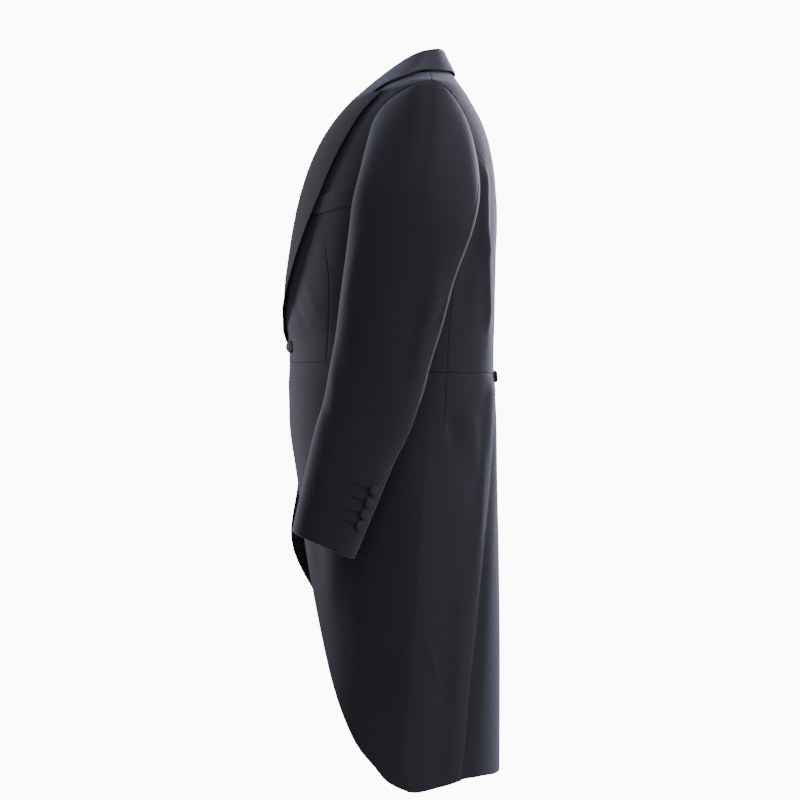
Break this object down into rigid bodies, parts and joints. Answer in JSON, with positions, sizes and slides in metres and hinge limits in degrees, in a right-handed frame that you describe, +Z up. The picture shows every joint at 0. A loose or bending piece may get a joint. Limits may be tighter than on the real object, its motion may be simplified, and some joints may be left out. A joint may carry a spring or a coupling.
{
  "type": "morning coat, the coat of a morning suit",
  "caption": "Cutaway morning coat, standing hollow as when worn, with peaked lapels, a covered-button link closure, curved open front and long tails.",
  "frame": {"origin": "the nape, at the centre back of the neck seam, where the wearer holds the coat up", "axes": "+Z up, the coat's front faces -Y, the wearer's left is +X"},
  "size_m": [0.578, 0.3166, 1.0468],
  "materials": {
    "coating": "dark charcoal worsted, matt with a faint sheen along folds",
    "covered_button": "woven cloth over a domed mould"
  },
  "bodies": {
    "root": {"back_button_left": "covered_button", "back_button_right": "covered_button", "back_left": "coating", "back_right": "coating", "breast_welt": "coating", "collar": "coating", "cuff_button_1_left": "covered_button", "cuff_button_1_right": "covered_button", "cuff_button_2_left": "covered_button", "cuff_button_2_right": "covered_button", "cuff_button_3_left": "covered_button", "cuff_button_3_right": "covered_button", "cuff_button_4_left": "covered_button", "cuff_button_4_right": "covered_button", "forepart_left": "coating", "forepart_right": "coating", "front_button_left": "covered_button", "front_button_right": "covered_button", "lapel_left": "coating", "lapel_right": "coating", "side_body_left": "coating", "side_body_right": "coating", "skirt_left": "coating", "skirt_right": "coating", "topsleeve_left": "coating", "topsleeve_right": "coating", "undersleeve_left": "coating", "undersleeve_right": "coating"}
  },
  "joints": []
}
